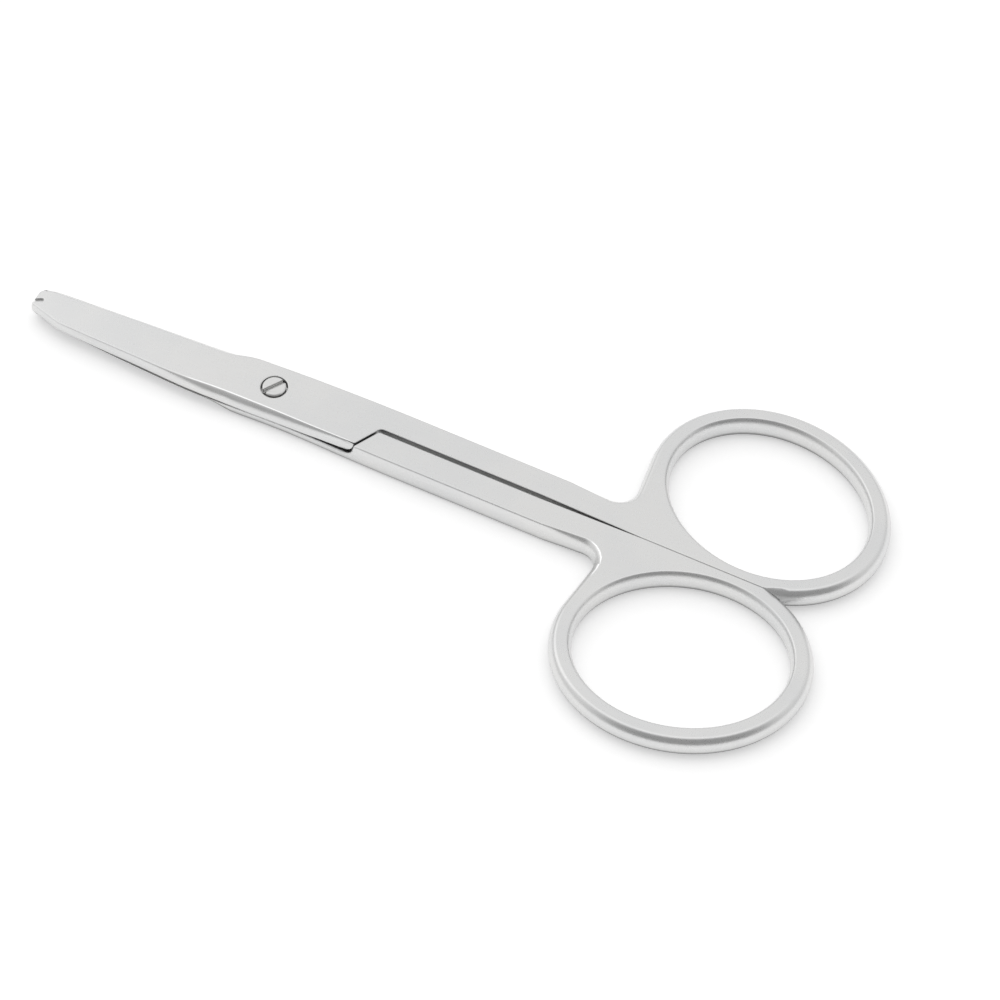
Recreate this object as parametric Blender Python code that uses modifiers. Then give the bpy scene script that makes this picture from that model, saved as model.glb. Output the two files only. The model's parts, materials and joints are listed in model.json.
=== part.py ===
"""Ligature scissors, 115 mm long: two forged halves that cross at a slotted pivot screw.

The origin is on the pivot axis, level with the surface that the scissors lie on. +X runs from the
pivot to the finger rings, +Y to the ring of the upper half, +Z up. Sizes are in metres.
"""

import math

import bmesh
import bpy
from mathutils import Vector

# Whole instrument
THICKNESS = 0.0034
MATING_GAP = 0.0003
CONTACT_GAP = 0.0001

# Blades: half widths are taken at mid thickness, from the line on which the blade is centred
BLADE_LENGTH = 0.0352
TIP_HALF_WIDTH = 0.00254
ROOT_HALF_WIDTH = 0.00405
BELLY_POWER = 1.3
EDGE_LEAD = 0.0003
EDGE_LEAD_START = -0.0320
EDGE_LEAD_FULL = -0.0170
CUTTING_EDGE_END = 0.0084
BEVEL_WIDTH = 0.00145
TIP_BEVEL_WIDTH = 0.0009
SPINE_ROUNDING = 0.00045
TIP_CORNER_RADIUS = 0.0005
BLADE_TAPER_ANGLE = math.radians(0.9)

# Both blades lie a little to the near side (-Y), and their noses differ from side to side
BLADE_LEAN = 0.00065
LEAN_START_X = 0.0060
LEAN_FULL_X = -0.0130
NEAR_NOSE_LENGTH = 0.0048
NEAR_NOSE_HALF_WIDTH = 0.0015
FAR_NOSE_LENGTH = 0.0015
FAR_NOSE_HALF_WIDTH = 0.0017

# Ground facet on the outside of each blade's tip, between two points of its border
FACET_FRONT = (-0.0345, -0.0010)
FACET_BACK = (-0.0284, 0.0017)
FACET_ANGLE = math.radians(11.0)

# Notch in the end of the upper blade, and the ligature hook in the edge of the lower blade
END_NOTCH_FLOOR = (-0.0339, -0.00082)
END_NOTCH_ANGLE = math.radians(28.0)
END_NOTCH_WIDTH = 0.00046
END_NOTCH_RADIUS = 0.00018
HOOK_RADIUS = 0.0006
HOOK_SETBACK = 0.0014
HOOK_DEPTH = 0.0005

# Lap joint
RICASSO_HALF_WIDTH = 0.0039
RICASSO_RUNOUT = 0.0048
RICASSO_ROUNDING = 0.00045
JOINT_SPINE_HALF_WIDTH = 0.00395
JOINT_SPINE_ROUNDING = 0.00090
JOINT_SPINE_X = -0.0040
PLATE_END_HALF_WIDTH = 0.00365
PLATE_END_ROUNDING = 0.0004
PLATE_TAPER_X = 0.0030
SHOULDER_X = 0.01535
SHOULDER_ANGLE = math.radians(62.0)
SHOULDER_GAP = 0.0003
SHOULDER_CORNER_RADIUS = 0.0005
SHOULDER_FILLET = 0.0010

# Shanks
SHANK_HALF_WIDTH = 0.00408
SHANK_ROUNDING = 0.0003
NECK_HALF_WIDTH = 0.00402
SHANK_FULL_X = 0.0200
NECK_START_X = 0.0300
SLIT_HALF_WIDTH = 0.00028
SLIT_TAPER_X = 0.0380
SLIT_END_X = 0.0525

# Finger rings: the opening and the outside are ellipses at mid thickness
RING_X = 0.06385
RING_TILT = math.radians(-13.8)
OPENING_LENGTH = 0.0270
OPENING_WIDTH = 0.0217
RIM_AT_ENDS = 0.0029
RIM_AT_SIDES = 0.0028
RING_OUTER_LENGTH = OPENING_LENGTH + 2.0 * RIM_AT_ENDS
RING_OUTER_WIDTH = OPENING_WIDTH + 2.0 * RIM_AT_SIDES
RING_TRIM = 0.00102
RING_ROUNDING = 0.00105
OPENING_ROUNDING = 0.0006
THROAT_ROUNDING = 0.0008
THROAT_BLEND_X = 0.0400
THROAT_X = 0.0488
THROAT_RADIUS = 0.0024

# Pivot screw
HEAD_RADIUS = 0.00155
HEAD_HEIGHT = 0.0007
HEAD_RISE = 0.0002
HEAD_CHAMFER = 0.00015
SCREW_RADIUS = 0.0010
RECESS_CLEARANCE = 0.0002
BORE_CLEARANCE = 0.0003
SLOT_WIDTH = 0.00045
SLOT_DEPTH = 0.00045
SLOT_ANGLE = math.radians(58.0)

# Fineness of the meshes
ROUND_SIDES = 48
RING_SIDES = 72
RING_FADE_SIDES = 6
RUNOUT_STATIONS = 8
BLADE_STATIONS = 18
SHANK_STATIONS = 10
PLATE_STATIONS = 8
FILLET_STEPS = 4
ARC_STEP = math.radians(15.0)
RIM_ARC = math.radians(72.0)
RIM_STEPS = 4
OVERCUT = 0.003
SMOOTH_ANGLE = math.radians(30.0)


def clear_scene():
    """Removes whatever the file holds, so that each run starts alike."""
    for obj in list(bpy.data.objects):
        bpy.data.objects.remove(obj, do_unlink=True)


def make_collection(name):
    collection = bpy.data.collections.new(name)
    bpy.context.scene.collection.children.link(collection)
    return collection


def make_steel(name, colour, roughness):
    material = bpy.data.materials.new(name)
    material.use_nodes = True
    shader = material.node_tree.nodes["Principled BSDF"]
    shader.inputs["Base Color"].default_value = (*colour, 1.0)
    shader.inputs["Metallic"].default_value = 1.0
    shader.inputs["Roughness"].default_value = roughness
    return material


def object_from(bm, name, collection):
    """Turns a closed bmesh into an object, with its faces pointing out."""
    bmesh.ops.recalc_face_normals(bm, faces=bm.faces)
    mesh = bpy.data.meshes.new(name)
    bm.to_mesh(mesh)
    bm.free()
    mesh.shade_smooth()
    mesh.set_sharp_from_angle(angle=SMOOTH_ANGLE)
    obj = bpy.data.objects.new(name, mesh)
    collection.objects.link(obj)
    return obj


def make_cutter(bm, name, collection):
    cutter = object_from(bm, name, collection)
    cutter.hide_render = True
    cutter.display_type = "WIRE"
    return cutter


def cut(obj, cutter):
    modifier = obj.modifiers.new(cutter.name, "BOOLEAN")
    modifier.operation = "DIFFERENCE"
    modifier.solver = "EXACT"
    modifier.object = cutter


def spread(start, end, count):
    """Evenly spaced values from start up to, and without, end."""
    return [start + (end - start) * i / count for i in range(count)]


def ease(x, start, end, low, high):
    """Runs smoothly from low at start to high at end."""
    t = min(max((x - start) / (end - start), 0.0), 1.0)
    return low + (high - low) * t * t * (3.0 - 2.0 * t)


def rounded_corner(before, corner, after, radius):
    """Points of the arc that rounds the corner between two straight lines."""
    to_before = (before - corner).normalized()
    to_after = (after - corner).normalized()
    half = to_before.angle(to_after) / 2.0
    centre = corner + (to_before + to_after).normalized() * radius / math.sin(half)
    start = corner + to_before * radius / math.tan(half) - centre
    sweep = start.angle_signed(corner + to_after * radius / math.tan(half) - centre)
    steps = max(2, round(abs(sweep) / ARC_STEP))
    points = []
    for i in range(steps + 1):
        turn = -sweep * i / steps
        points.append(centre + Vector((
            start.x * math.cos(turn) - start.y * math.sin(turn),
            start.x * math.sin(turn) + start.y * math.cos(turn))))
    return points


def rounded_polygon(corners):
    """Closed outline from (x, y, radius) corners, each rounded by its radius."""
    places = [Vector((x, y)) for x, y, radius in corners]
    outline = []
    for i, (x, y, radius) in enumerate(corners):
        if radius > 0.0:
            after = places[(i + 1) % len(places)]
            outline += rounded_corner(places[i - 1], places[i], after, radius)
        else:
            outline.append(places[i])
    return outline


def ring_y():
    """Height of the ring's centre above the centre line: the contact face trims the ring's outside."""
    along = RING_OUTER_LENGTH / 2.0 * math.sin(RING_TILT)
    across = RING_OUTER_WIDTH / 2.0 * math.cos(RING_TILT)
    return math.hypot(along, across) - RING_TRIM


def ellipse_point(angle, length, width):
    """Point of a ring's ellipse, at an angle counted from its long axis."""
    x = length / 2.0 * math.cos(angle)
    y = width / 2.0 * math.sin(angle)
    return Vector((
        RING_X + x * math.cos(RING_TILT) - y * math.sin(RING_TILT),
        ring_y() + x * math.sin(RING_TILT) + y * math.cos(RING_TILT)))


def blade_half_width(x):
    run = (-x - CUTTING_EDGE_END) / (BLADE_LENGTH - CUTTING_EDGE_END)
    return ROOT_HALF_WIDTH - (ROOT_HALF_WIDTH - TIP_HALF_WIDTH) * max(run, 0.0) ** BELLY_POWER


def spine_side(x):
    """Distance of the spine side from the centre line: the other half's edge stands out past it."""
    lead = ease(x, EDGE_LEAD_START, EDGE_LEAD_FULL, 0.0, EDGE_LEAD)
    if x < -CUTTING_EDGE_END:
        return blade_half_width(x) - lead
    if x < PLATE_TAPER_X:
        return ease(x, -CUTTING_EDGE_END, 0.0, ROOT_HALF_WIDTH - lead, JOINT_SPINE_HALF_WIDTH)
    return ease(x, PLATE_TAPER_X, SHOULDER_X, JOINT_SPINE_HALF_WIDTH, PLATE_END_HALF_WIDTH)


def edge_side(x):
    """Distance of the cutting side, and of the outside of the shank, from the centre line."""
    runout_end = RICASSO_RUNOUT - CUTTING_EDGE_END
    if x < -CUTTING_EDGE_END:
        return blade_half_width(x)
    if x < runout_end:
        return ease(x, -CUTTING_EDGE_END, runout_end, ROOT_HALF_WIDTH, RICASSO_HALF_WIDTH)
    if x < SHANK_FULL_X:
        return ease(x, runout_end, SHANK_FULL_X, RICASSO_HALF_WIDTH, SHANK_HALF_WIDTH)
    return ease(x, NECK_START_X, throat_start_x(), SHANK_HALF_WIDTH, NECK_HALF_WIDTH)


def blade_lean(x):
    """Shift of the blades towards the near side, none of it on the shanks."""
    return ease(x, LEAN_START_X, LEAN_FULL_X, 0.0, BLADE_LEAN)


def near_nose_half_width(x):
    """Half width of the nose on the near side, which narrows in a straight line to the tip."""
    start = -BLADE_LENGTH + NEAR_NOSE_LENGTH
    share = (start - x) / NEAR_NOSE_LENGTH
    return blade_half_width(start) + (NEAR_NOSE_HALF_WIDTH - blade_half_width(start)) * share


def spine_rounding(x):
    if x < JOINT_SPINE_X:
        return ease(x, -BLADE_LENGTH / 2.0, JOINT_SPINE_X, SPINE_ROUNDING, JOINT_SPINE_ROUNDING)
    return ease(x, JOINT_SPINE_X, SHOULDER_X, JOINT_SPINE_ROUNDING, PLATE_END_ROUNDING)


def edge_rounding(x):
    """How far the outer face's border lies inside the outline, and how round the side is."""
    runout_end = RICASSO_RUNOUT - CUTTING_EDGE_END
    if x < runout_end:
        inset = ease(x, -CUTTING_EDGE_END, runout_end, BEVEL_WIDTH, RICASSO_ROUNDING)
        return inset, ease(x, -CUTTING_EDGE_END, runout_end, 0.0, 1.0)
    if x < THROAT_BLEND_X:
        return ease(x, 0.0, SHOULDER_X, RICASSO_ROUNDING, SHANK_ROUNDING), 1.0
    return ease(x, THROAT_BLEND_X, throat_start_x(), SHANK_ROUNDING, THROAT_ROUNDING), 1.0


def ring_front():
    """Point of the ring's outside where the front line leaves it, and its angle on the ellipse."""
    corner = Vector((THROAT_X, NECK_HALF_WIDTH))

    def miss(angle):
        """How far the ellipse's tangent there passes from the throat's corner."""
        point = ellipse_point(angle, RING_OUTER_LENGTH, RING_OUTER_WIDTH)
        ahead = ellipse_point(angle + 0.001, RING_OUTER_LENGTH, RING_OUTER_WIDTH)
        return abs((ahead - point).normalized().cross(corner - point))

    angles = [math.pi + i * math.tau / 720 for i in range(-60, 60)]
    best = min(angles, key=miss)
    return ellipse_point(best, RING_OUTER_LENGTH, RING_OUTER_WIDTH), best


def ring_bottom_angle():
    """Angle on the ellipse of the ring's point nearest the other ring."""
    angles = [-math.pi / 2.0 + i * math.tau / 720 for i in range(-90, 90)]
    return min(angles, key=lambda a: ellipse_point(a, RING_OUTER_LENGTH, RING_OUTER_WIDTH).y)


def throat_start_x():
    """Where the shank's outside starts to turn into the ring."""
    return THROAT_X - THROAT_RADIUS


def nose(side, near):
    """Where the nose starts and its end half width, on side +1 or -1 of a half."""
    if side == near:
        return -BLADE_LENGTH + NEAR_NOSE_LENGTH, NEAR_NOSE_HALF_WIDTH
    return -BLADE_LENGTH + FAR_NOSE_LENGTH, FAR_NOSE_HALF_WIDTH


def forging_outline(near):
    """Outline of one half at mid thickness: (point, inset, roundness) counter-clockwise.

    The half's near side is its own side -1 or +1, and the blade leans that way.
    """
    front, front_angle = ring_front()
    bottom_angle = ring_bottom_angle()
    bottom = ellipse_point(bottom_angle, RING_OUTER_LENGTH, RING_OUTER_WIDTH)
    blank_end = SHOULDER_X + OVERCUT
    tip = Vector((-BLADE_LENGTH, 0.0))
    outline = []

    def add(point, inset, roundness=1.0):
        lean = Vector((0.0, near * blade_lean(point[0])))
        outline.append((Vector(point) + lean, inset, roundness))

    # Spine side, from the tip to past the shoulder
    nose_start, nose_half_width = nose(-1, near)
    spine_corner = Vector((-BLADE_LENGTH, -nose_half_width))
    spine_next = Vector((nose_start, -spine_side(nose_start)))
    for point in rounded_corner(tip, spine_corner, spine_next, TIP_CORNER_RADIUS):
        add(point, SPINE_ROUNDING)
    for x in spread(nose_start, 0.0, BLADE_STATIONS):
        add((x, -spine_side(x)), spine_rounding(x))
    for x in spread(0.0, blank_end, PLATE_STATIONS):
        add((x, -spine_side(x)), spine_rounding(x))
    add((blank_end, -spine_side(blank_end)), spine_rounding(blank_end))

    # Inner side, which the facing cut then trims, and the outside of the ring
    add((blank_end, bottom.y), 0.0)
    add((SLIT_END_X, bottom.y), 0.0)
    swing = front_angle - bottom_angle
    for i in range(RING_SIDES + 1):
        angle = bottom_angle + swing * i / RING_SIDES
        point = ellipse_point(angle, RING_OUTER_LENGTH, RING_OUTER_WIDTH)
        rounding = ease(i, 0, RING_FADE_SIDES, 0.0, RING_ROUNDING)
        add(point, rounding)

    # Throat between ring and shank, then the shank's outside
    throat = Vector((THROAT_X, NECK_HALF_WIDTH))
    shank_top = Vector((NECK_START_X, NECK_HALF_WIDTH))
    arc = rounded_corner(front, throat, shank_top, THROAT_RADIUS)
    for i, point in enumerate(arc):
        add(point, ease(i, 0, len(arc) - 1, RING_ROUNDING, THROAT_ROUNDING))
    for x in spread(throat_start_x(), SHOULDER_X, SHANK_STATIONS)[1:]:
        inset, roundness = edge_rounding(x)
        add((x, edge_side(x)), inset, roundness)
    runout_end = RICASSO_RUNOUT - CUTTING_EDGE_END
    for x in spread(SHOULDER_X, runout_end, SHANK_STATIONS):
        inset, roundness = edge_rounding(x)
        add((x, edge_side(x)), inset, roundness)

    # Run-out of the ground edge, then the cutting edge to the tip
    for x in spread(runout_end, -CUTTING_EDGE_END, RUNOUT_STATIONS):
        inset, roundness = edge_rounding(x)
        add((x, edge_side(x)), inset, roundness)
    nose_start, nose_half_width = nose(1, near)
    for x in spread(-CUTTING_EDGE_END, nose_start, BLADE_STATIONS):
        add((x, edge_side(x)), BEVEL_WIDTH, 0.0)
    add((nose_start, edge_side(nose_start)), BEVEL_WIDTH, 0.0)
    add((-BLADE_LENGTH, nose_half_width), TIP_BEVEL_WIDTH, 0.0)
    add((-BLADE_LENGTH, nose_half_width - TIP_BEVEL_WIDTH), SPINE_ROUNDING)
    return outline


def opening_outline():
    """Outline of the finger opening at mid thickness, clockwise, so that it insets outwards."""
    points = []
    for i in range(RING_SIDES):
        angle = -math.tau * i / RING_SIDES
        points.append((ellipse_point(angle, OPENING_LENGTH, OPENING_WIDTH), OPENING_ROUNDING, 1.0))
    return points


def inset_share(turn, roundness):
    """Share of the inset where the rim's arc has turned so far: none at mid thickness, all at its end."""
    arc = (1.0 - math.cos(turn)) / (1.0 - math.cos(RIM_ARC))
    slope = abs(math.sin(turn)) / math.sin(RIM_ARC)
    return roundness * arc + (1.0 - roundness) * slope


def inward(outline, i):
    """Direction in which point i moves when the outline shrinks by one unit."""
    before = outline[i - 1][0]
    here = outline[i][0]
    after = outline[(i + 1) % len(outline)][0]
    first = (here - before).normalized()
    second = (after - here).normalized()
    normals = Vector((-first.y, first.x)) + Vector((-second.y, second.x))
    return normals / max(1.0 + first.dot(second), 0.3)


def loft_walls(bm, outline):
    """Side walls through every height of the rim. Returns the lowest and highest loops."""
    loops = []
    for step in range(-RIM_STEPS, RIM_STEPS + 1):
        turn = RIM_ARC * step / RIM_STEPS
        height = THICKNESS / 2.0 * math.sin(turn) / math.sin(RIM_ARC)
        loop = []
        for i, (point, inset, roundness) in enumerate(outline):
            place = point + inward(outline, i) * inset * inset_share(turn, roundness)
            loop.append(bm.verts.new((place.x, place.y, height)))
        loops.append(loop)
    count = len(outline)
    for lower, upper in zip(loops, loops[1:]):
        for i in range(count):
            j = (i + 1) % count
            bm.faces.new((lower[i], lower[j], upper[j], upper[i]))
    return loops[0], loops[-1]


def forge_blank(name, near, collection):
    """Full forging of one half: blade, joint, shank and ring at full thickness."""
    bm = bmesh.new()
    outer = loft_walls(bm, forging_outline(near))
    opening = loft_walls(bm, opening_outline())
    for outer_loop, opening_loop in zip(outer, opening):
        rim = []
        for loop in (outer_loop, opening_loop):
            for i, vert in enumerate(loop):
                rim.append(bm.edges.get((vert, loop[i - 1])))
        bmesh.ops.triangle_fill(bm, use_beauty=True, use_dissolve=False, edges=rim)
    return object_from(bm, name, collection)


def stack(name, sections, collection):
    """Upright cutter through (height, outline) sections, whose outlines have equally many points."""
    bm = bmesh.new()
    loops = []
    for height, outline in sections:
        loops.append([bm.verts.new((p.x, p.y, height)) for p in outline])
    for lower, upper in zip(loops, loops[1:]):
        for i, vert in enumerate(lower):
            bm.faces.new((lower[i - 1], vert, upper[i], upper[i - 1]))
    bm.faces.new(loops[0])
    bm.faces.new(loops[-1])
    return make_cutter(bm, name, collection)


def cylinder(name, centre, radius, bottom, top, collection):
    bm = bmesh.new()
    bmesh.ops.create_cone(
        bm, cap_ends=True, segments=ROUND_SIDES, radius1=radius, radius2=radius, depth=top - bottom)
    bmesh.ops.translate(bm, verts=bm.verts, vec=(*centre, (top + bottom) / 2.0))
    return make_cutter(bm, name, collection)


def shoulder_x(y, set_back):
    """Line of the joint's shoulders, set back square to itself by a distance."""
    return SHOULDER_X - set_back / math.sin(SHOULDER_ANGLE) - abs(y) / math.tan(SHOULDER_ANGLE)


def fillet_levels(radius):
    """Rise above the lap's floor and set-back of a fillet, from its foot to its top."""
    levels = []
    for step in range(FILLET_STEPS + 1):
        turn = math.pi / 2.0 * step / FILLET_STEPS
        levels.append((radius * (1.0 - math.cos(turn)), radius * (1.0 - math.sin(turn))))
    return levels


def facing_outline(set_back):
    """Outline of what is cut away beside the plate's end, the slit and the contact face of the ring."""
    far = JOINT_SPINE_HALF_WIDTH + OVERCUT
    end = RING_X + RING_OUTER_LENGTH
    contact = CONTACT_GAP / 2.0
    corner_x = shoulder_x(0.0, set_back) + SLIT_HALF_WIDTH / math.tan(SHOULDER_ANGLE)
    return rounded_polygon([
        (shoulder_x(far, set_back), -far, 0.0),
        (end, -far, 0.0),
        (end, contact, 0.0),
        (SLIT_END_X, contact, 0.0),
        (SLIT_TAPER_X, SLIT_HALF_WIDTH, 0.0),
        (corner_x, SLIT_HALF_WIDTH, SHOULDER_CORNER_RADIUS + SHOULDER_GAP)])


def facing_cutter(collection):
    """Trims the side that faces the other half. The plate's end is rounded towards the lap."""
    sections = [(-THICKNESS, facing_outline(SHOULDER_GAP / 2.0 + SHOULDER_FILLET))]
    for rise, set_back in fillet_levels(SHOULDER_FILLET):
        sections.append((MATING_GAP / 2.0 + rise, facing_outline(SHOULDER_GAP / 2.0 + set_back)))
    sections.append((THICKNESS, facing_outline(SHOULDER_GAP / 2.0)))
    return stack("facing_cutter", sections, collection)


def lap_outline(set_back):
    """Outline of the lap up to the shoulder, which is set back where its fillet is."""
    far = SHANK_HALF_WIDTH + OVERCUT
    start = -BLADE_LENGTH - OVERCUT
    end = SHOULDER_X + OVERCUT
    return rounded_polygon([
        (start, -far, 0.0),
        (end, -far, 0.0),
        (end, SLIT_HALF_WIDTH, 0.0),
        (shoulder_x(SLIT_HALF_WIDTH, set_back), SLIT_HALF_WIDTH, SHOULDER_CORNER_RADIUS),
        (shoulder_x(far, set_back), far, 0.0),
        (start, far, 0.0)])


def lap_cutter(collection):
    """Removes the half of the thickness that the other half fills, up to the shoulder's fillet."""
    sections = []
    for rise, set_back in fillet_levels(SHOULDER_FILLET + MATING_GAP):
        sections.append((MATING_GAP / 2.0 - rise, lap_outline(set_back - SHOULDER_GAP / 2.0)))
    sections.append((-THICKNESS, lap_outline(-SHOULDER_GAP / 2.0)))
    return stack("lap_cutter", sections, collection)


def grinding_block(name, line_start, line_end, angle, collection):
    """Block whose underside passes through a line on the outer face and dips to the line's left."""
    start = Vector((*line_start, THICKNESS / 2.0))
    end = Vector((*line_end, THICKNESS / 2.0))
    along = (end - start).normalized()
    left = Vector((-along.y, along.x, 0.0))
    down = left * math.cos(angle) - Vector((0.0, 0.0, 1.0)) * math.sin(angle)
    up = down.cross(along).normalized()
    if up.z < 0.0:
        up = -up
    reach = BLADE_LENGTH * 2.0
    bm = bmesh.new()
    bmesh.ops.create_cube(bm, size=1.0)
    for vert in bm.verts:
        u, v, w = vert.co
        vert.co = start + along * u * reach * 2.0 + down * (v + 0.5) * reach + up * (w + 0.5) * reach
    return make_cutter(bm, name, collection)


def taper_cutter(collection):
    """Grinds the outside of the blade thinner from the end of the cutting edge to the tip."""
    far = SHANK_HALF_WIDTH + OVERCUT
    start = (-CUTTING_EDGE_END, -far)
    end = (-CUTTING_EDGE_END, far)
    return grinding_block("taper_cutter", start, end, BLADE_TAPER_ANGLE, collection)


def facet_cutter(near, collection):
    """Grinds the facet on the outside of the tip."""
    lean = near * BLADE_LEAN
    start = (FACET_FRONT[0], FACET_FRONT[1] + lean)
    end = (FACET_BACK[0], FACET_BACK[1] + lean)
    return grinding_block("facet_cutter", start, end, FACET_ANGLE, collection)


def bore_cutter(collection):
    radius = SCREW_RADIUS + BORE_CLEARANCE
    return cylinder("bore_cutter", (0.0, 0.0), radius, -THICKNESS, THICKNESS, collection)


def recess_cutter(collection):
    radius = HEAD_RADIUS + RECESS_CLEARANCE
    floor = THICKNESS / 2.0 + HEAD_RISE - HEAD_HEIGHT - MATING_GAP
    return cylinder("recess_cutter", (0.0, 0.0), radius, floor, THICKNESS, collection)


def end_notch_cutter(collection):
    """Small slanting notch in the end of the upper blade."""
    floor = Vector(END_NOTCH_FLOOR)
    along = Vector((math.cos(END_NOTCH_ANGLE), math.sin(END_NOTCH_ANGLE)))
    across = Vector((-along.y, along.x)) * END_NOTCH_WIDTH / 2.0
    mouth = floor - along * OVERCUT
    outline = rounded_polygon([
        (*(mouth - across), 0.0),
        (*(floor - across), END_NOTCH_RADIUS),
        (*(floor + across), END_NOTCH_RADIUS),
        (*(mouth + across), 0.0)])
    return stack("end_notch_cutter", [(-THICKNESS, outline), (THICKNESS, outline)], collection)


def hook_cutter(collection):
    """Crescent in the lower blade's edge behind its tip, which catches the ligature."""
    x = -BLADE_LENGTH + HOOK_SETBACK
    centre = (x, near_nose_half_width(x) + BLADE_LEAN + HOOK_RADIUS - HOOK_DEPTH)
    return cylinder("hook_cutter", centre, HOOK_RADIUS, -THICKNESS, THICKNESS, collection)


def make_screw(collection, cutters):
    """Turned screw with a slotted head, placed by its lower end."""
    top = THICKNESS + HEAD_RISE
    profile = [
        (0.0, top),
        (HEAD_RADIUS - HEAD_CHAMFER, top),
        (HEAD_RADIUS, top - HEAD_CHAMFER),
        (HEAD_RADIUS, top - HEAD_HEIGHT),
        (SCREW_RADIUS, top - HEAD_HEIGHT),
        (SCREW_RADIUS, HEAD_CHAMFER),
        (SCREW_RADIUS - HEAD_CHAMFER, 0.0),
        (0.0, 0.0)]
    bm = bmesh.new()
    verts = [bm.verts.new((radius, 0.0, z)) for radius, z in profile]
    for first, second in zip(verts, verts[1:]):
        bm.edges.new((first, second))
    mesh = bpy.data.meshes.new("pivot_screw")
    bm.to_mesh(mesh)
    bm.free()
    screw = bpy.data.objects.new("pivot_screw", mesh)
    collection.objects.link(screw)
    turning = screw.modifiers.new("turning", "SCREW")
    turning.steps = ROUND_SIDES
    turning.render_steps = ROUND_SIDES
    turning.use_merge_vertices = True
    turning.merge_threshold = 0.00001

    bm = bmesh.new()
    bmesh.ops.create_cube(bm, size=1.0)
    bmesh.ops.scale(bm, verts=bm.verts, vec=(HEAD_RADIUS * 3.0, SLOT_WIDTH, SLOT_DEPTH * 2.0))
    slot = make_cutter(bm, "slot_cutter", cutters)
    slot.location = (0.0, 0.0, top)
    slot.rotation_euler = (0.0, 0.0, SLOT_ANGLE)
    cut(screw, slot)
    return screw


def place(obj, cutters, flip):
    """Sets a half and its cutters at mid height on the pivot axis. The lower half is turned over."""
    for item in [obj, *cutters]:
        item.location = (0.0, 0.0, THICKNESS / 2.0)
        item.rotation_euler = (math.pi if flip else 0.0, 0.0, 0.0)


def make_half(name, collection, cutters, flip, own_cutters):
    """One half of the scissors: the forging, then each cut that the real one is given."""
    near = 1 if flip else -1
    half = forge_blank(name, near, collection)
    used = [
        lap_cutter(cutters),
        facing_cutter(cutters),
        taper_cutter(cutters),
        facet_cutter(near, cutters),
        bore_cutter(cutters),
        *own_cutters]
    for cutter in used:
        cutter.name = f"{name}_{cutter.name}"
        cut(half, cutter)
    place(half, used, flip)
    return half


def main():
    clear_scene()
    parts = make_collection("ligature_scissors")
    cutters = make_collection("cutters")
    upper_cutters = [recess_cutter(cutters), end_notch_cutter(cutters)]
    upper = make_half("upper_half", parts, cutters, False, upper_cutters)
    lower = make_half("lower_half", parts, cutters, True, [hook_cutter(cutters)])
    screw = make_screw(parts, cutters)
    satin = make_steel("satin_steel", (0.72, 0.72, 0.71), 0.38)
    bright = make_steel("screw_steel", (0.70, 0.70, 0.69), 0.32)
    upper.data.materials.append(satin)
    lower.data.materials.append(satin)
    screw.data.materials.append(bright)


main()
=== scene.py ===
"""Looks of the ligature scissors: satin steel, a pale floor and soft studio light."""

import json
import math

import bpy
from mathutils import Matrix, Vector

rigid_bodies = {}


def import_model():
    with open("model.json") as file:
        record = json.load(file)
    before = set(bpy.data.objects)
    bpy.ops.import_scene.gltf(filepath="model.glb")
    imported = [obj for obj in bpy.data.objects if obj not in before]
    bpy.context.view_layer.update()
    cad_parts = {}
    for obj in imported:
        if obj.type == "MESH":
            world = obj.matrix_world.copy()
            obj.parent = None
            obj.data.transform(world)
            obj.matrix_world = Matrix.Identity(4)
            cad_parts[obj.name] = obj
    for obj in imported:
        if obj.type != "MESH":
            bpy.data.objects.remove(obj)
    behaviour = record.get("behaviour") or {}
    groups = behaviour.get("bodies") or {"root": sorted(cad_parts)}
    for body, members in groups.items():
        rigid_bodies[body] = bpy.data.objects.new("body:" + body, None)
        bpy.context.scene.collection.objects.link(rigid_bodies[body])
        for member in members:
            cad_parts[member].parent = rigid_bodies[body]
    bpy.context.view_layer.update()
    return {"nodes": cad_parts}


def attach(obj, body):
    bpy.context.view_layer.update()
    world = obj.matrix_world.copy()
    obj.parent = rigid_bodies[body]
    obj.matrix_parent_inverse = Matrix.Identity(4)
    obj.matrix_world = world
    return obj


# Camera, solved from the photo's outlines
CAMERA_LENS = 144.0
CAMERA_SENSOR = 36.0
CAMERA_CLIP = (0.01, 20.0)
CAMERA_ELEVATION = math.radians(53.87)
CAMERA_AZIMUTH = math.radians(27.05)
CAMERA_DISTANCE = 0.50188
CAMERA_TARGET = (0.03393, -0.00284, 0.0034)

# Joining of the facets, and rounding of the arrises as a polisher leaves them
WELD_DISTANCE = 0.000002
FLAT_ANGLE = math.radians(0.4)
ARRIS_WIDTH = 0.00010
SCREW_ARRIS_WIDTH = 0.00004
ARRIS_ANGLE = math.radians(32.0)
ARRIS_SEGMENTS = 2
CLOSING_DISTANCE = 0.000001
ARRIS_SOFTNESS = 0.00014
NORMAL_SAMPLES = 8

# Steel: tone, tints that vary over it, and roughness
STEEL_TONE = 0.74
WARM_TINT = (0.995, 0.993, 0.985)
COOL_TINT = (0.965, 0.968, 0.968)
HALF_ROUGHNESS = 0.31
SCREW_WARM_TINT = (1.0, 0.995, 0.98)
SCREW_COOL_TINT = (0.95, 0.955, 0.955)
SCREW_ROUGHNESS = 0.33
ROUGHNESS_SPREAD = 0.03

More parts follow.
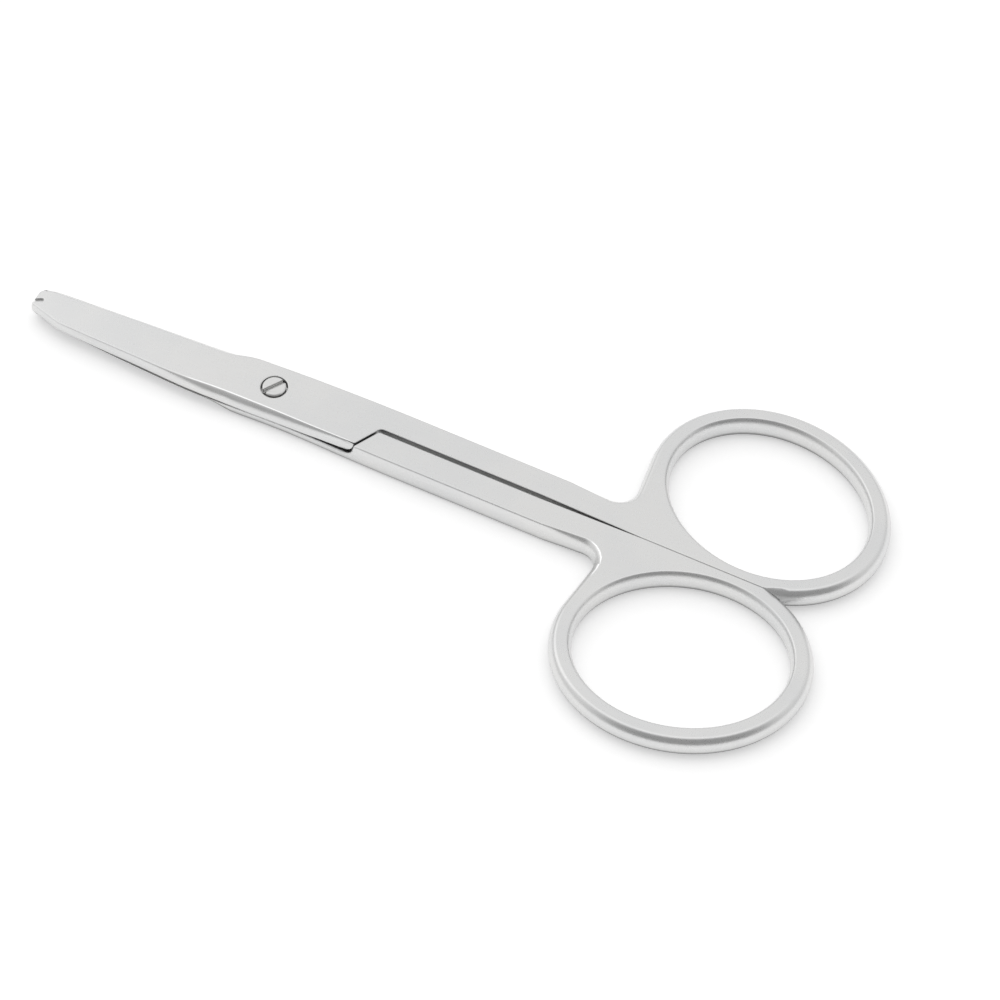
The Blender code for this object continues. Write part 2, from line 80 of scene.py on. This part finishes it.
# Fine unevenness of the steel: scale, detail and roughness of each noise, and strength and
# height of each bump
GRAIN = (7000.0, 3.0, 0.6)
GRAIN_BUMP = (0.06, 0.000012)
PATCHES = (120.0, 3.0, 0.5)
STREAKS = (1.0, 2.0, 0.5)
STREAK_STRETCH = (260.0, 7000.0, 7000.0)
STREAK_BUMP = (0.03, 0.000010)
SCREW_GRAIN = (6000.0, 2.0, 0.5)
SCREW_GRAIN_BUMP = (0.10, 0.000008)
LATHE_RINGS = {"Scale": 2600.0, "Distortion": 0.6, "Detail": 1.0}
LATHE_BUMP = (0.12, 0.000008)
NOISE_SPAN = (0.3, 0.7)
PATCH_SPAN = (0.35, 0.65)

# Painted shade: thin grey lines along sharp arrises, and a darker tone on what faces the table
SHADE_LINE_WIDTH = 0.00024
SHADE_LINE_SPAN = (0.92, 0.985)
SHADE_LINE_TONE = 0.20
# Painted shade on faces turned towards the table
UNDERSIDE_SHADE_SPAN = (-0.42, -0.08)
UNDERSIDE_SHADE_TONE = 0.22

# Painted highlights on the arrises beside the joint and in the throat: each rises and falls
# along X and Y
JOINT_GLINT = ((-0.0130, -0.0070), (0.0110, 0.0145), (-0.0048, -0.0044), (-0.0027, -0.0023))
THROAT_GLINT = ((0.0450, 0.0465), (0.0492, 0.0500), (-0.0085, -0.0065), (-0.0036, -0.0032))
GLINT_RISE = (0.86, 0.92)
GLINT_FALL = (0.985, 0.9985)
GLINT_TONE = 1.9

# Where no painted shade line shows: the arrises at which the rings meet, and the notch in the
# blade's end
CONTACT_PATCH = ((0.0480, 0.0510), (0.0700, 0.0720), (-0.0008, -0.0006), (0.0006, 0.0008))
NOTCH_PATCH = ((-0.0370, -0.0360), (-0.0334, -0.0330), (-0.0040, -0.0030), (0.0030, 0.0040))
PATCH_HEIGHT = (0.0027, 0.0029)

# The solids stand 0.3 mm apart where real halves slide: the visible faces close most of that
MATING_LEVELS = {"upper_half": 0.00185, "lower_half": 0.00155}
LEVEL_TOLERANCE = 0.00001
MATING_SHIFT = 0.00013
MATING_FADE = (0.0080, 0.0110)

# The rings' contact faces stand 0.1 mm apart, and close most of that too
CONTACT_START = 0.0500
CONTACT_REACH = 0.00008
CONTACT_SHIFT = 0.00004

# Shallow floor of the notch in the upper blade's end
NOTCH_FLOOR = (-0.0339, -0.00082)
NOTCH_ANGLE = math.radians(28.0)
NOTCH_WIDTH = 0.00044
NOTCH_LENGTH = 0.0012
NOTCH_HEIGHTS = (0.0019, 0.00268)

# Floor under the scissors
FLOOR_SIZE = 4.0
FLOOR_CENTRE = (0.03, 0.0, -0.00002)
FLOOR_COLOUR = (0.80, 0.80, 0.80, 1.0)
FLOOR_ROUGHNESS = 0.9
FLOOR_GLOW = 0.44

# Light: the sky's tones with their heights, the unlit side, and one lamp
SKY_STRENGTH = 1.13
HORIZON_SPAN = (0.0, 0.6)
HORIZON_TONE = 0.80
OVERHEAD_SPAN = (0.86, 0.97)
OVERHEAD_TONE = 1.25
FRONT_HEIGHT = 0.45
FRONT_SPAN = (0.42, 0.84)
FRONT_TONE = 0.40
KEY_PLACE = (-0.52, 0.10, 0.55)
KEY_TARGET = (0.03, 0.0, 0.0)
KEY_SIZE = 0.7
KEY_POWER = 0.4


class Nodes:
    """Small helper that adds and joins shader nodes."""

    def __init__(self, tree):
        self.tree = tree
        tree.nodes.clear()

    def add(self, kind, **settings):
        node = self.tree.nodes.new(kind)
        for name, value in settings.items():
            setattr(node, name, value)
        return node

    def link(self, source, target):
        self.tree.links.new(source, target)

    def fill(self, node, values):
        """Sets the named inputs of a node."""
        for name, value in values.items():
            node.inputs[name].default_value = value
        return node

    def math(self, operation, first, second, clamp=False):
        node = self.add("ShaderNodeMath", operation=operation, use_clamp=clamp)
        for socket, value in zip(node.inputs, (first, second)):
            if isinstance(value, (int, float)):
                socket.default_value = value
            else:
                self.link(value, socket)
        return node.outputs[0]

    def vector_math(self, operation, first, second):
        """Works on a socket and either a second socket or a fixed vector."""
        node = self.add("ShaderNodeVectorMath", operation=operation)
        self.link(first, node.inputs[0])
        if isinstance(second, (tuple, Vector)):
            node.inputs[1].default_value = second
        else:
            self.link(second, node.inputs[1])
        return node.outputs["Value" if operation == "DOT_PRODUCT" else "Vector"]

    def ramp(self, value, low, high, to_low, to_high):
        """Maps a value smoothly from one range to another, and holds its ends."""
        node = self.add("ShaderNodeMapRange", clamp=True, interpolation_type="SMOOTHSTEP")
        self.fill(node, {"From Min": low, "From Max": high, "To Min": to_low, "To Max": to_high})
        self.link(value, node.inputs["Value"])
        return node.outputs["Result"]

    def noise(self, vector, scale, detail, roughness):
        node = self.add("ShaderNodeTexNoise")
        self.fill(node, {"Scale": scale, "Detail": detail, "Roughness": roughness})
        self.link(vector, node.inputs["Vector"])
        return node.outputs["Fac"]

    def mix(self, factor, first, second):
        """Mixes two fixed colours."""
        node = self.add("ShaderNodeMix", data_type="RGBA")
        self.link(factor, node.inputs[0])
        node.inputs[6].default_value = (*first, 1.0)
        node.inputs[7].default_value = (*second, 1.0)
        return node.outputs[2]

    def bump(self, height, strength, distance, normal):
        node = self.add("ShaderNodeBump")
        self.fill(node, {"Strength": strength, "Distance": distance})
        self.link(height, node.inputs["Height"])
        self.link(normal, node.inputs["Normal"])
        return node.outputs["Normal"]

    def rounded_normal(self, radius):
        """Normal that turns gently over each arris, as a polished edge does."""
        node = self.fill(self.add("ShaderNodeBevel", samples=NORMAL_SAMPLES), {"Radius": radius})
        return node.outputs["Normal"]

    def parts(self, vector):
        node = self.add("ShaderNodeSeparateXYZ")
        self.link(vector, node.inputs[0])
        return node.outputs

    def patch(self, spot, edges):
        """One inside a patch of the outer face, and zero outside it, with soft borders."""
        x_rise, x_fall, y_rise, y_fall = edges
        level = self.ramp(spot["Z"], *PATCH_HEIGHT, 0.0, 1.0)
        for value, span, low, high in (
                (spot["X"], x_rise, 0.0, 1.0), (spot["X"], x_fall, 1.0, 0.0),
                (spot["Y"], y_rise, 0.0, 1.0), (spot["Y"], y_fall, 1.0, 0.0)):
            level = self.math("MULTIPLY", level, self.ramp(value, *span, low, high))
        return level

    def paint_shade_and_highlights(self, colour, place):
        """Paints shade along sharp arrises and on what faces the table, and highlights near
        joint and throat.
        """
        normal = self.add("ShaderNodeNewGeometry").outputs["Normal"]
        flatness = self.vector_math("DOT_PRODUCT", normal, self.rounded_normal(SHADE_LINE_WIDTH))
        upward = self.parts(normal)["Z"]
        spot = self.parts(place)
        bright = self.math("ADD", self.patch(spot, JOINT_GLINT), self.patch(spot, THROAT_GLINT))
        plain = self.math("ADD", self.patch(spot, CONTACT_PATCH), self.patch(spot, NOTCH_PATCH))
        # Painted shade: grey lines where the rounded normal turns away from the face's own, at
        # sharp arrises
        shade_line = self.ramp(flatness, *SHADE_LINE_SPAN, SHADE_LINE_TONE, 1.0)
        shade_line = self.math("MAXIMUM", shade_line, self.math("ADD", bright, plain, clamp=True))
        # Painted shade: darker where the face turns towards the table
        underside_shade = self.ramp(upward, *UNDERSIDE_SHADE_SPAN, UNDERSIDE_SHADE_TONE, 1.0)
        tone = self.math("MULTIPLY", shade_line, underside_shade)
        # Painted highlight: brighter where the face tilts slightly, inside the glint patches
        turning = self.math("MULTIPLY", self.ramp(upward, *GLINT_RISE, 0.0, 1.0),
                            self.ramp(upward, *GLINT_FALL, 1.0, 0.0))
        highlight_gain = self.ramp(self.math("MULTIPLY", turning, bright), 0.0, 1.0, 1.0, GLINT_TONE)
        return self.vector_math("MULTIPLY", colour, self.math("MULTIPLY", tone, highlight_gain))

    def surface(self, shader, kind="ShaderNodeOutputMaterial"):
        """Joins a shader to the output."""
        self.link(shader.outputs[0], self.add(kind).inputs["Surface"])

    def metal(self, colour, rough, normal):
        shader = self.fill(self.add("ShaderNodeBsdfPrincipled"), {"Metallic": 1.0})
        for name, socket in (("Base Color", colour), ("Roughness", rough), ("Normal", normal)):
            self.link(socket, shader.inputs[name])
        self.surface(shader)


def new_material(name):
    """Material with an empty node tree, and the helper that fills it."""
    material = bpy.data.materials.new(name)
    material.use_nodes = True
    return material, Nodes(material.node_tree)


def tinted(tint):
    return tuple(STEEL_TONE * part for part in tint)


def satin_steel(name, with_painted_light=True):
    """Satin stainless steel: fine blasted grain, faint polishing streaks, uneven tone, painted
    shade and highlights.
    """
    material, n = new_material(name)
    place = n.add("ShaderNodeTexCoord").outputs["Object"]
    grain = n.noise(place, *GRAIN)
    patches = n.noise(place, *PATCHES)
    streaks = n.noise(n.vector_math("MULTIPLY", place, STREAK_STRETCH), *STREAKS)

    colour = n.mix(n.ramp(patches, *PATCH_SPAN, 0.0, 1.0), tinted(WARM_TINT), tinted(COOL_TINT))
    # With painted light: painted shade along sharp arrises and on what faces the table, painted
    # highlights by joint and throat
    if with_painted_light:
        colour = n.paint_shade_and_highlights(colour, place)
    low, high = HALF_ROUGHNESS - ROUGHNESS_SPREAD, HALF_ROUGHNESS + ROUGHNESS_SPREAD
    rough = n.math("ADD", n.ramp(grain, *NOISE_SPAN, low, high),
                   n.ramp(streaks, *NOISE_SPAN, -ROUGHNESS_SPREAD, ROUGHNESS_SPREAD))
    normal = n.bump(grain, *GRAIN_BUMP, n.rounded_normal(ARRIS_SOFTNESS))
    n.metal(colour, rough, n.bump(streaks, *STREAK_BUMP, normal))
    return material


def turned_steel(name):
    """Steel of the screw: fine rings from the lathe round the pivot axis."""
    material, n = new_material(name)
    place = n.add("ShaderNodeTexCoord").outputs["Object"]
    rings = n.add("ShaderNodeTexWave", wave_type="RINGS", rings_direction="Z")
    n.fill(rings, LATHE_RINGS)
    n.link(place, rings.inputs["Vector"])
    grain = n.noise(place, *SCREW_GRAIN)

    # Painted shade along sharp arrises and on what faces the table, and painted highlights, as
    # on the halves
    colour = n.paint_shade_and_highlights(n.mix(grain, tinted(SCREW_WARM_TINT), tinted(SCREW_COOL_TINT)), place)
    low, high = SCREW_ROUGHNESS - ROUGHNESS_SPREAD, SCREW_ROUGHNESS + ROUGHNESS_SPREAD
    rough = n.ramp(grain, *NOISE_SPAN, low, high)
    normal = n.bump(rings.outputs["Fac"], *LATHE_BUMP, n.rounded_normal(ARRIS_SOFTNESS))
    n.metal(colour, rough, n.bump(grain, *SCREW_GRAIN_BUMP, normal))
    return material


def shift_faces(obj, name, weights, axis, shift):
    """Moves the visible faces on the given vertices along one axis. The mesh itself stays."""
    group = obj.vertex_groups.new(name=name)
    for index, weight in weights.items():
        group.add([index], weight, "REPLACE")
    modifier = obj.modifiers.new(name, "DISPLACE")
    modifier.vertex_group = name
    modifier.direction = axis
    modifier.mid_level = 0.0
    modifier.strength = shift


def close_gaps(obj):
    """Brings the visible sliding faces and the rings' contact faces nearly together."""
    side = 1.0 if obj.name == "upper_half" else -1.0
    start, end = MATING_FADE
    mating = {}
    contact = {}
    for vertex in obj.data.vertices:
        place = obj.matrix_world @ vertex.co
        if abs(place.z - MATING_LEVELS[obj.name]) < LEVEL_TOLERANCE:
            weight = min(max((end - place.x) / (end - start), 0.0), 1.0)
            if weight > 0.0:
                mating[vertex.index] = weight
        if place.x > CONTACT_START and abs(place.y) < CONTACT_REACH:
            contact[vertex.index] = 1.0
    shift_faces(obj, "mating", mating, "Z", -side * MATING_SHIFT)
    shift_faces(obj, "contact", contact, "Y", -side * CONTACT_SHIFT)


def notch_floor(material):
    """Floor that keeps the notch in the upper blade's end shallow."""
    along = Vector((math.cos(NOTCH_ANGLE), math.sin(NOTCH_ANGLE), 0.0))
    bottom, top = NOTCH_HEIGHTS
    centre = Vector((*NOTCH_FLOOR, (bottom + top) / 2.0)) - along * NOTCH_LENGTH / 2.0
    bpy.ops.mesh.primitive_cube_add(size=1.0, location=centre, rotation=(0.0, 0.0, NOTCH_ANGLE))
    floor = bpy.context.active_object
    floor.name = "notch_floor"
    floor.scale = (NOTCH_LENGTH, NOTCH_WIDTH, top - bottom)
    bpy.ops.object.transform_apply(location=False, rotation=False, scale=True)
    floor.data.materials.append(material)
    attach(floor, "upper")


def finish_mesh(obj, material, arris_width):
    """Joins the facets, rounds the arrises and gives the node its material."""
    mesh = obj.data
    if "custom_normal" in mesh.attributes:
        mesh.attributes.remove(mesh.attributes["custom_normal"])
    mesh.shade_smooth()
    weld = obj.modifiers.new("weld", "WELD")
    weld.merge_threshold = WELD_DISTANCE
    flat = obj.modifiers.new("flat", "DECIMATE")
    flat.decimate_type = "DISSOLVE"
    flat.angle_limit = FLAT_ANGLE
    bevel = obj.modifiers.new("arrises", "BEVEL")
    bevel.limit_method = "ANGLE"
    bevel.angle_limit = ARRIS_ANGLE
    bevel.width = arris_width
    bevel.segments = ARRIS_SEGMENTS
    bevel.use_clamp_overlap = False
    closed = obj.modifiers.new("closed", "WELD")
    closed.merge_threshold = CLOSING_DISTANCE
    weighted = obj.modifiers.new("flat_faces", "WEIGHTED_NORMAL")
    weighted.keep_sharp = False
    weighted.weight = 100
    if not obj.material_slots:
        mesh.materials.append(material)
    for slot in obj.material_slots:
        slot.material = material


def make_floor():
    """Pale floor: white to the camera and in reflections, and it keeps the soft shadow."""
    bpy.ops.mesh.primitive_plane_add(size=FLOOR_SIZE, location=FLOOR_CENTRE)
    floor = bpy.context.active_object
    floor.name = "floor"
    material, n = new_material("floor")
    path = n.add("ShaderNodeLightPath")
    seen = n.math("MAXIMUM", path.outputs["Is Camera Ray"], path.outputs["Is Glossy Ray"])
    seen = n.math("MAXIMUM", seen, path.outputs["Is Transmission Ray"])
    shader = n.fill(n.add("ShaderNodeBsdfPrincipled"), {
        "Base Color": FLOOR_COLOUR, "Roughness": FLOOR_ROUGHNESS, "Specular IOR Level": 0.0,
        "Emission Color": (1.0, 1.0, 1.0, 1.0)})
    n.link(n.math("MULTIPLY", seen, FLOOR_GLOW), shader.inputs["Emission Strength"])
    n.surface(shader)
    floor.data.materials.append(material)


def make_sky():
    """Soft studio all round: bright overhead, dimmer at the horizon, dimmest in front."""
    world = bpy.data.worlds.new("studio")
    bpy.context.scene.world = world
    world.use_nodes = True
    n = Nodes(world.node_tree)
    direction = n.add("ShaderNodeTexCoord").outputs["Generated"]
    height = n.parts(direction)["Z"]
    tone = n.ramp(height, *HORIZON_SPAN, HORIZON_TONE, 1.0)
    tone = n.math("MULTIPLY", tone, n.ramp(height, *OVERHEAD_SPAN, 1.0, OVERHEAD_TONE))

    # The side of the studio that the photo was taken from is unlit
    front = Vector((math.sin(CAMERA_AZIMUTH), -math.cos(CAMERA_AZIMUTH), FRONT_HEIGHT))
    nearness = n.vector_math("DOT_PRODUCT", direction, front.normalized())
    tone = n.math("MULTIPLY", tone, n.ramp(nearness, *FRONT_SPAN, 1.0, FRONT_TONE))
    background = n.add("ShaderNodeBackground")
    n.link(n.math("MULTIPLY", tone, SKY_STRENGTH), background.inputs["Strength"])
    n.surface(background, "ShaderNodeOutputWorld")


def place_object(data, location, direction):
    """Stands a lamp or camera at a location, pointed in a direction."""
    obj = bpy.data.objects.new(data.name, data)
    bpy.context.scene.collection.objects.link(obj)
    obj.location = location
    obj.rotation_mode = "QUATERNION"
    obj.rotation_quaternion = direction.to_track_quat("-Z", "Y")
    return obj


def make_lamp():
    data = bpy.data.lights.new("key", "AREA")
    data.shape = "DISK"
    data.size = KEY_SIZE
    data.energy = KEY_POWER
    place_object(data, KEY_PLACE, Vector(KEY_TARGET) - Vector(KEY_PLACE))


def make_camera():
    back = Vector((
        math.sin(CAMERA_AZIMUTH) * math.cos(CAMERA_ELEVATION),
        -math.cos(CAMERA_AZIMUTH) * math.cos(CAMERA_ELEVATION),
        math.sin(CAMERA_ELEVATION)))
    data = bpy.data.cameras.new("camera")
    data.lens = CAMERA_LENS
    data.sensor_width = CAMERA_SENSOR
    data.clip_start, data.clip_end = CAMERA_CLIP
    place = Vector(CAMERA_TARGET) + back * CAMERA_DISTANCE
    bpy.context.scene.camera = place_object(data, place, -back)


for old in list(bpy.data.objects):
    bpy.data.objects.remove(old, do_unlink=True)
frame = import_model()
steel = satin_steel("satin_steel")
screw_steel = turned_steel("screw_steel")
for half in ("upper_half", "lower_half"):
    close_gaps(frame["nodes"][half])
    finish_mesh(frame["nodes"][half], steel, ARRIS_WIDTH)
finish_mesh(frame["nodes"]["pivot_screw"], screw_steel, SCREW_ARRIS_WIDTH)
notch_floor(satin_steel("plain_steel", with_painted_light=False))
make_floor()
make_sky()
make_lamp()
make_camera()
bpy.context.scene.view_settings.view_transform = "Standard"
